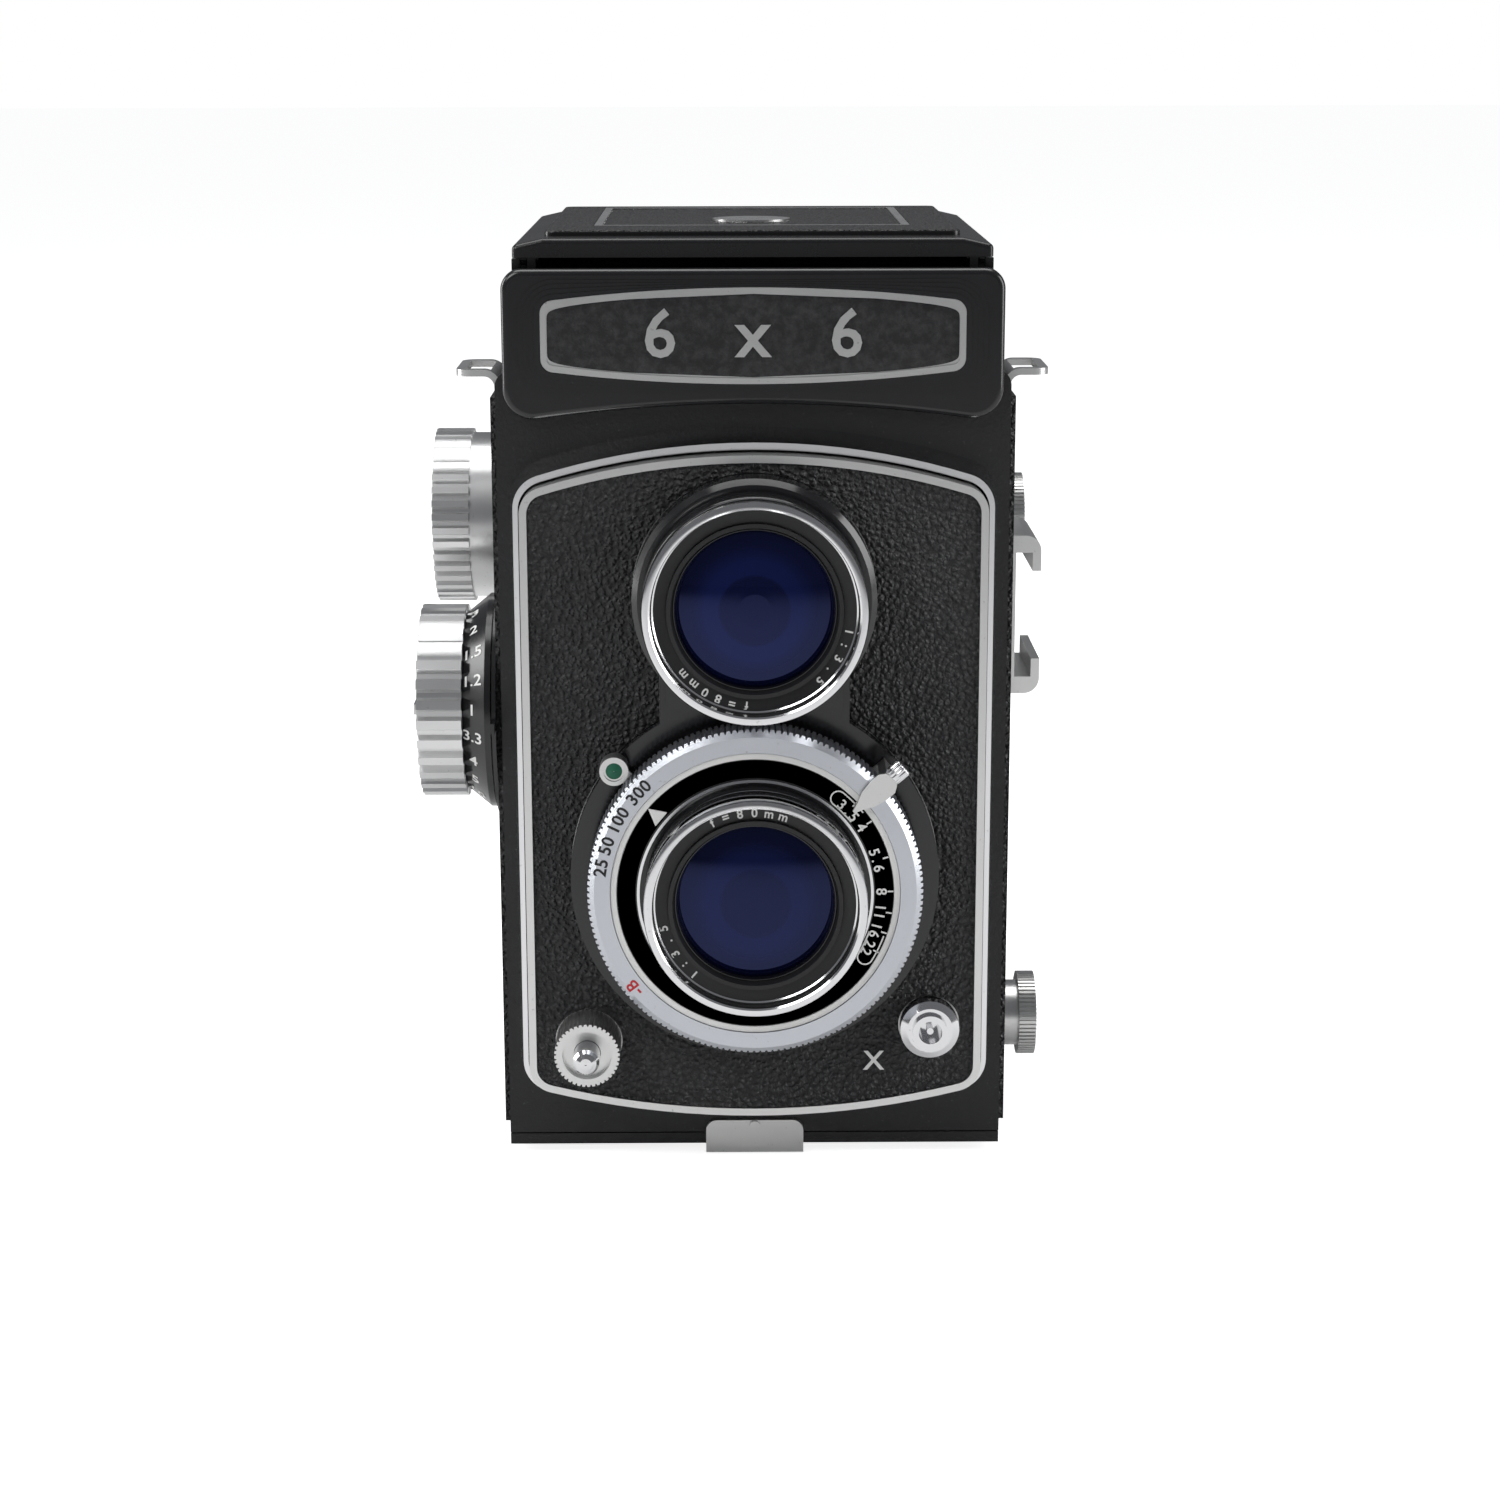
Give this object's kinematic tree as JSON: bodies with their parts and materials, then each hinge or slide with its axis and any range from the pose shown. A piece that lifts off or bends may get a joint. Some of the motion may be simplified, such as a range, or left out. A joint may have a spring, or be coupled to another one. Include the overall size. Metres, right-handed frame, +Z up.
{
  "type": "twin lens reflex camera",
  "caption": "Upright box camera with a viewing lens above a taking lens on a focusing board, a folding waist-level hood, side knobs and a hinged back.",
  "frame": {"origin": "centre of the tripod socket's mouth, in the plane the camera stands on", "axes": "+Z up, the lenses look along -Y, +X is the side of the accessory shoe"},
  "size_m": [0.0964, 0.1011, 0.1408],
  "materials": {
    "black_paint": "semi-gloss black enamel",
    "crinkle_paint": "fine black crinkle enamel",
    "polished_metal": "polished chrome",
    "satin_metal": "satin nickel plate",
    "leatherette": "black pebbled covering",
    "aluminium": "turned aluminium",
    "inner_black": "matt black inside",
    "lens_glass": "coated glass",
    "screen_glass": "ground glass",
    "mirror_silver": "front-silvered",
    "spool_black": "enamel",
    "steel": "bright steel"
  },
  "bodies": {
    "camera_body": {"body_casting": "crinkle_paint", "front_bezel": "polished_metal", "finder_apron": "black_paint", "nameplate": "satin_metal", "side_leather_left": "leatherette", "side_leather_right": "leatherette", "case_screws": "satin_metal", "strap_lugs": "satin_metal", "accessory_shoe": "satin_metal", "catch_plate": "satin_metal", "focus_index_ring": "black_paint", "spool_bushes": "satin_metal", "light_cone": "inner_black", "film_gate": "inner_black", "mirror": "mirror_silver", "mirror_holder": "inner_black", "focusing_screen": "screen_glass", "hood_base": "black_paint", "hinge_pins": "black_paint"},
    "focus_drive": {"focus_knob": "aluminium", "distance_scale": "black_paint", "focus_shaft": "steel", "focus_cams": "steel"},
    "film_speed": {"film_speed_dial": "aluminium"},
    "wind_drive": {"wind_knob": "aluminium", "wind_shaft": "steel", "take_up_spool": "spool_black"},
    "wind_centre": {"wind_button": "satin_metal"},
    "take_up_pull": {"take_up_side_knob": "aluminium"},
    "supply_pull": {"supply_side_knob": "aluminium"},
    "lower_roller": {"film_roller_lower": "steel"},
    "upper_roller": {"film_roller_upper": "steel"},
    "lid": {"hood_lid": "black_paint", "finder_flap": "satin_metal"},
    "rear_panel": {"hood_rear_panel": "black_paint"},
    "left_panel": {"hood_left_panel": "black_paint"},
    "right_panel": {"hood_right_panel": "black_paint"},
    "magnifier": {"magnifier_arm": "black_paint", "magnifier_lens": "lens_glass"},
    "door": {"back_door": "black_paint", "door_leather": "leatherette", "tripod_bush": "satin_metal", "door_feet": "satin_metal"},
    "film_pressure": {"pressure_plate": "inner_black"},
    "door_lock": {"lock_dial": "satin_metal"},
    "board": {"lens_board": "aluminium", "board_trim": "satin_metal", "board_leather": "leatherette", "shutter_housing": "black_paint", "aperture_scale": "black_paint", "release_collar": "satin_metal", "sync_socket": "satin_metal", "viewing_lens_barrel": "polished_metal", "taking_lens_barrel": "polished_metal", "front_elements": "lens_glass", "iris_and_rear_cells": "inner_black"},
    "speed_setting": {"speed_ring": "aluminium"},
    "stop_setting": {"aperture_lever": "satin_metal"},
    "cocking": {"cocking_lever": "satin_metal"},
    "release": {"release_plunger": "polished_metal"}
  },
  "joints": [
    {"name": "focus_turn", "type": "hinge", "parent": "camera_body", "child": "focus_drive", "pos_m": [0, -0.02, 0.0685], "axis": [-1, 0, 0], "range_deg": [-70, 229]},
    {"name": "board_slide", "type": "slide", "parent": "camera_body", "child": "board", "axis": [0, -1, 0], "range_m": [-0.00167, 0.00549]},
    {"name": "film_speed_turn", "type": "hinge", "parent": "focus_drive", "child": "film_speed", "pos_m": [0, -0.02, 0.0685], "axis": [-1, 0, 0], "continuous": true},
    {"name": "wind_turn", "type": "hinge", "parent": "camera_body", "child": "wind_drive", "pos_m": [0, 0.017, 0.0915], "axis": [-1, 0, 0], "continuous": true},
    {"name": "wind_button_push", "type": "slide", "parent": "wind_drive", "child": "wind_centre", "axis": [1, 0, 0], "range_m": [0, 0.0015], "stiffness_N_per_m": 300},
    {"name": "take_up_pull_out", "type": "slide", "parent": "camera_body", "child": "take_up_pull", "axis": [1, 0, 0], "range_m": [0, 0.006], "stiffness_N_per_m": 200},
    {"name": "supply_pull_out", "type": "slide", "parent": "camera_body", "child": "supply_pull", "axis": [1, 0, 0], "range_m": [0, 0.006], "stiffness_N_per_m": 200},
    {"name": "lower_roller_spin", "type": "hinge", "parent": "camera_body", "child": "lower_roller", "pos_m": [0, 0.0286, 0.0154], "axis": [1, 0, 0], "continuous": true},
    {"name": "upper_roller_spin", "type": "hinge", "parent": "camera_body", "child": "upper_roller", "pos_m": [0, 0.0286, 0.0802], "axis": [1, 0, 0], "continuous": true},
    {"name": "lid_lift", "type": "hinge", "parent": "camera_body", "child": "lid", "pos_m": [0, -0.0316, 0.1369], "axis": [1, 0, 0], "range_deg": [0, 90]},
    {"name": "rear_panel_rise", "type": "hinge", "parent": "camera_body", "child": "rear_panel", "pos_m": [0, 0.0312, 0.1346], "axis": [-1, 0, 0], "range_deg": [0, 90]},
    {"name": "left_panel_rise", "type": "hinge", "parent": "camera_body", "child": "left_panel", "pos_m": [-0.0326, 0, 0.129], "axis": [0, -1, 0], "range_deg": [0, 90]},
    {"name": "right_panel_rise", "type": "hinge", "parent": "camera_body", "child": "right_panel", "pos_m": [0.0326, 0, 0.129], "axis": [0, 1, 0], "range_deg": [0, 90]},
    {"name": "magnifier_swing", "type": "hinge", "parent": "lid", "child": "magnifier", "pos_m": [0, 0.0024, 0.1379], "axis": [1, 0, 0], "range_deg": [-90, 0]},
    {"name": "door_swing", "type": "hinge", "parent": "camera_body", "child": "door", "pos_m": [0, 0.0344, 0.1194], "axis": [1, 0, 0], "range_deg": [0, 100]},
    {"name": "film_pressure_travel", "type": "slide", "parent": "door", "child": "film_pressure", "axis": [0, 1, 0], "range_m": [0, 0.0008], "stiffness_N_per_m": 400},
    {"name": "lock_turn", "type": "hinge", "parent": "door", "child": "door_lock", "pos_m": [0, 0, 0], "axis": [0, 0, -1], "range_deg": [0, 90]},
    {"name": "speed_ring_turn", "type": "hinge", "parent": "board", "child": "speed_setting", "pos_m": [0, -0.054, 0.0478], "axis": [0, -1, 0], "range_deg": [-79, 0]},
    {"name": "stop_lever_swing", "type": "hinge", "parent": "board", "child": "stop_setting", "pos_m": [0, -0.049, 0.0478], "axis": [0, -1, 0], "range_deg": [-68, 0]},
    {"name": "cocking_lever_swing", "type": "hinge", "parent": "board", "child": "cocking", "pos_m": [0, -0.05, 0.0478], "axis": [0, -1, 0], "range_deg": [0, 35], "stiffness_Nm_per_rad": 0.002},
    {"name": "release_push", "type": "slide", "parent": "board", "child": "release", "axis": [0, 1, 0], "range_m": [0, 0.003], "stiffness_N_per_m": 300}
  ],
  "couplings": [
    {"joint": "focus_turn", "follows": "board_slide", "rad_per_m": 727.27},
    {"joint": "rear_panel_rise", "follows": "lid_lift", "ratio": 1},
    {"joint": "left_panel_rise", "follows": "lid_lift", "ratio": 1},
    {"joint": "right_panel_rise", "follows": "lid_lift", "ratio": 1},
    {"joint": "magnifier_swing", "follows": "lid_lift", "ratio": -1}
  ]
}
